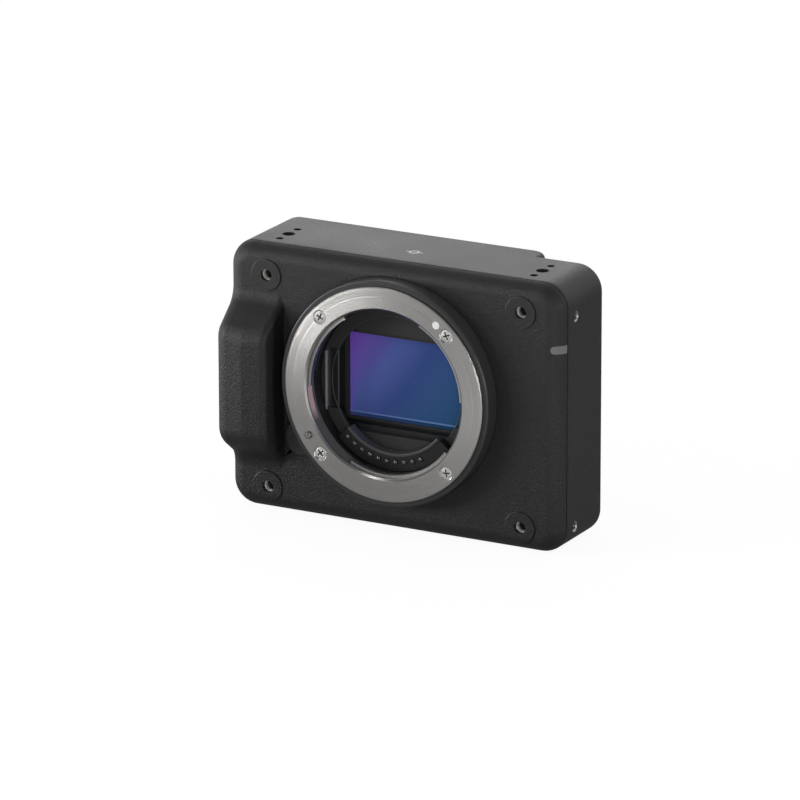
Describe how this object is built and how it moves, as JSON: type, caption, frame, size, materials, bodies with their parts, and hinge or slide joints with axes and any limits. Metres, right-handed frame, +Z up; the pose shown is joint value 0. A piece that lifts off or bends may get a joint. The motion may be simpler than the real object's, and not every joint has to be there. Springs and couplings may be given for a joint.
{
  "type": "industrial camera body",
  "caption": "Small box-shaped industrial camera with an open round lens mount, a grip bulge, threaded fixing points, rear keys and sockets, and a hinged card door.",
  "frame": {"origin": "bottom centre of the bounding box", "axes": "+X to the right seen from the front, +Y to the back of the camera, so the lens mount faces -Y, +Z up"},
  "size_m": [0.1, 0.0425, 0.074],
  "materials": {
    "body_paint": "fine-grained satin black",
    "mount_steel": "finely turned, satin",
    "screw_steel": "bright",
    "insert_steel": "bright rim, dark bore",
    "collar_paint": "satin black",
    "chamber_black": "flat black",
    "black_plastic": "fine matt",
    "index_mark": "matt",
    "light_guide": "translucent satin",
    "contact_gold": "bright plated",
    "spring_steel": "bright",
    "shutter_steel": "flat black",
    "filter_glass": "coated, violet to blue reflections",
    "clear_glass": "clear",
    "sensor_silicon": "dark and glossy",
    "ceramic": "matt ceramic",
    "circuit_board": "dark green solder mask",
    "chip_black": "matt",
    "pad_grey": "soft matt",
    "bare_aluminium": "brushed",
    "gasket_rubber": "matt",
    "connector_plastic": "matt"
  },
  "bodies": {
    "camera_body": {"front_cover": "body_paint", "main_frame": "body_paint", "rear_cover": "body_paint", "status_light_guide": "light_guide", "m3_inserts": "insert_steel", "side_inserts": "insert_steel", "tripod_socket": "insert_steel", "mount_ring": "mount_steel", "index_dot": "index_mark", "mount_screws": "screw_steel", "mount_collar": "collar_paint", "bayonet_leaf_springs": "spring_steel", "release_spring": "spring_steel", "release_bracket": "spring_steel", "contact_block": "black_plastic", "contact_pins": "contact_gold", "chamber_baffle": "chamber_black", "shutter_front_plate": "shutter_steel", "shutter_back_plate": "shutter_steel", "shutter_rails": "shutter_steel", "shutter_motor": "bare_aluminium", "filter_holder": "chamber_black", "filter_glass": "filter_glass", "filter_gasket": "gasket_rubber", "sensor_cover_glass": "clear_glass", "sensor_package": "ceramic", "sensor_die": "sensor_silicon", "sensor_board": "circuit_board", "sensor_pad": "pad_grey", "sensor_plate": "bare_aluminium", "board_screws": "screw_steel", "main_board": "circuit_board", "processor_chip": "chip_black", "memory_chips": "chip_black", "heat_spreader": "bare_aluminium", "power_board": "circuit_board", "power_capacitors": "bare_aluminium", "rear_board": "circuit_board", "board_connector": "connector_plastic", "key_switches": "chip_black", "rear_cover_screws": "screw_steel", "card_slot": "spring_steel", "door_pin": "spring_steel", "power_socket": "black_plastic", "data_socket": "spring_steel", "video_socket": "spring_steel", "control_socket": "black_plastic"},
    "release_button": {"lens_release_button": "black_plastic"},
    "lens_lock": {"lock_pin": "screw_steel", "release_yoke": "spring_steel"},
    "door": {"card_door": "black_plastic"},
    "front_curtain_lead": {"front_curtain_lead": "shutter_steel"},
    "front_curtain_follower": {"front_curtain_follower": "shutter_steel"},
    "rear_curtain_lead": {"rear_curtain_lead": "shutter_steel"},
    "rear_curtain_follower": {"rear_curtain_follower": "shutter_steel"},
    "power_key": {"power_key": "black_plastic"},
    "shutter_key": {"shutter_key": "black_plastic"},
    "menu_key": {"menu_key": "black_plastic"},
    "up_key": {"up_key": "black_plastic"},
    "down_key": {"down_key": "black_plastic"}
  },
  "joints": [
    {"name": "release_press", "type": "slide", "parent": "camera_body", "child": "release_button", "axis": [0, 1, 0], "range_m": [0, 0.0015], "stiffness_N_per_m": 800},
    {"name": "lock_slide", "type": "slide", "parent": "camera_body", "child": "lens_lock", "axis": [0, 1, 0], "range_m": [0, 0.0015], "deforming": ["release_spring"]},
    {"name": "door_hinge", "type": "hinge", "parent": "camera_body", "child": "door", "pos_m": [-0.049, 0.01345, 0.041], "axis": [0, 0, -1], "range_deg": [0, 90]},
    {"name": "front_lead_travel", "type": "slide", "parent": "camera_body", "child": "front_curtain_lead", "axis": [0, 0, 1], "range_m": [0, 0.026]},
    {"name": "front_follower_travel", "type": "slide", "parent": "camera_body", "child": "front_curtain_follower", "axis": [0, 0, 1], "range_m": [0, 0.013]},
    {"name": "rear_lead_travel", "type": "slide", "parent": "camera_body", "child": "rear_curtain_lead", "axis": [0, 0, -1], "range_m": [0, 0.026]},
    {"name": "rear_follower_travel", "type": "slide", "parent": "camera_body", "child": "rear_curtain_follower", "axis": [0, 0, -1], "range_m": [0, 0.013]},
    {"name": "power_key_press", "type": "slide", "parent": "camera_body", "child": "power_key", "axis": [0, -1, 0], "range_m": [0, 0.0004], "stiffness_N_per_m": 1500},
    {"name": "shutter_key_press", "type": "slide", "parent": "camera_body", "child": "shutter_key", "axis": [0, -1, 0], "range_m": [0, 0.0004], "stiffness_N_per_m": 1500},
    {"name": "menu_key_press", "type": "slide", "parent": "camera_body", "child": "menu_key", "axis": [0, -1, 0], "range_m": [0, 0.0004], "stiffness_N_per_m": 1500},
    {"name": "up_key_press", "type": "slide", "parent": "camera_body", "child": "up_key", "axis": [0, -1, 0], "range_m": [0, 0.0004], "stiffness_N_per_m": 1500},
    {"name": "down_key_press", "type": "slide", "parent": "camera_body", "child": "down_key", "axis": [0, -1, 0], "range_m": [0, 0.0004], "stiffness_N_per_m": 1500}
  ],
  "couplings": [
    {"joint": "lock_slide", "follows": "release_press", "ratio": 1},
    {"joint": "front_follower_travel", "follows": "front_lead_travel", "ratio": 0.5},
    {"joint": "rear_follower_travel", "follows": "rear_lead_travel", "ratio": 0.5}
  ]
}
